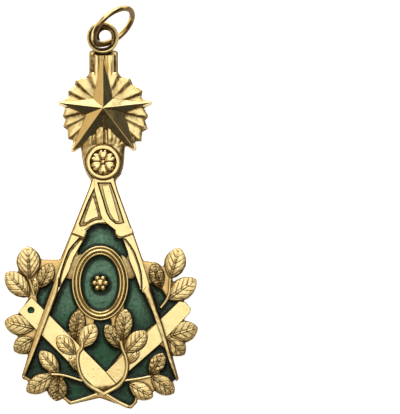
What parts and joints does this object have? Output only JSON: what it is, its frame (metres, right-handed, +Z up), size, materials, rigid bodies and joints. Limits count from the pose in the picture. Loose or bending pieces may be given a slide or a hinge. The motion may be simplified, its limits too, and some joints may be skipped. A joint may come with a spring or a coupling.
{
  "type": "enamel medal",
  "caption": "Gilt cast collar jewel with green enamel cells: star over compasses, square and leaf sprigs, hung from an eye and jump ring.",
  "frame": {"origin": "middle of the outline seen from above, on the surface that the medal lies on", "axes": "+Y towards the eye and jump ring, +Z up out of the relief, +X to the right as seen from the front"},
  "size_m": [0.0387, 0.0803, 0.0095],
  "materials": {
    "gilt_metal": "gilt, satin with worn bright edges",
    "green_enamel": "glossy fired enamel, slightly uneven",
    "gilt_wire": "gilt, polished"
  },
  "bodies": {
    "root": {"plaque": "gilt_metal", "enamel_arch": "green_enamel", "enamel_oval": "green_enamel", "enamel_field_left": "green_enamel", "enamel_field_right": "green_enamel", "enamel_diamond": "green_enamel", "enamel_lower_left": "green_enamel", "enamel_lower_right": "green_enamel", "enamel_outer_left": "green_enamel", "enamel_outer_right": "green_enamel", "enamel_foot_left": "green_enamel", "enamel_foot_right": "green_enamel", "enamel_dot": "green_enamel", "jump_ring": "gilt_wire"}
  },
  "joints": []
}
